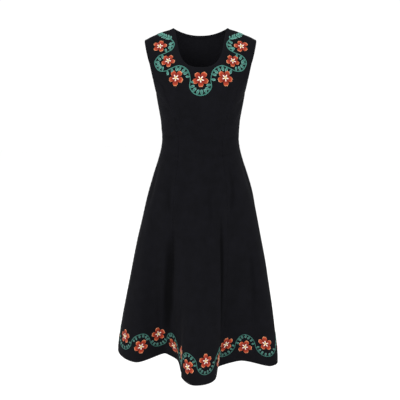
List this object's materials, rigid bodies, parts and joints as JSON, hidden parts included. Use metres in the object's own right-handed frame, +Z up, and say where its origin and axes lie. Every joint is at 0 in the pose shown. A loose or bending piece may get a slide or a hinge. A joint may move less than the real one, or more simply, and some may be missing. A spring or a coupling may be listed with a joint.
{
  "type": "folk pinafore dress",
  "caption": "Sleeveless flared dress with a low round neck, shaped seams from armhole to hem, and a rounded fold down the front of the skirt.",
  "frame": {"origin": "midway between the neck ends of the two shoulder seams, where the wearer's shoulders hold the dress up", "axes": "+Z up along the dress, +X towards the wearer's left, and the front of the dress faces -Y"},
  "size_m": [0.5997, 0.5277, 1.202],
  "materials": {
    "cloth": "firm black double-knit cloth, matt, with a slight sheen at grazing angles",
    "thread_orange": "orange embroidery thread in satin stitch",
    "thread_red": "crimson embroidery thread in satin stitch",
    "thread_white": "white embroidery thread in straight stitches",
    "thread_yellow": "yellow embroidery thread in knotted stitches",
    "thread_green": "blue-green embroidery thread in stem and satin stitch"
  },
  "bodies": {
    "root": {"front": "cloth", "side_front_left": "cloth", "side_front_right": "cloth", "back": "cloth", "side_back_left": "cloth", "side_back_right": "cloth"}
  },
  "joints": []
}
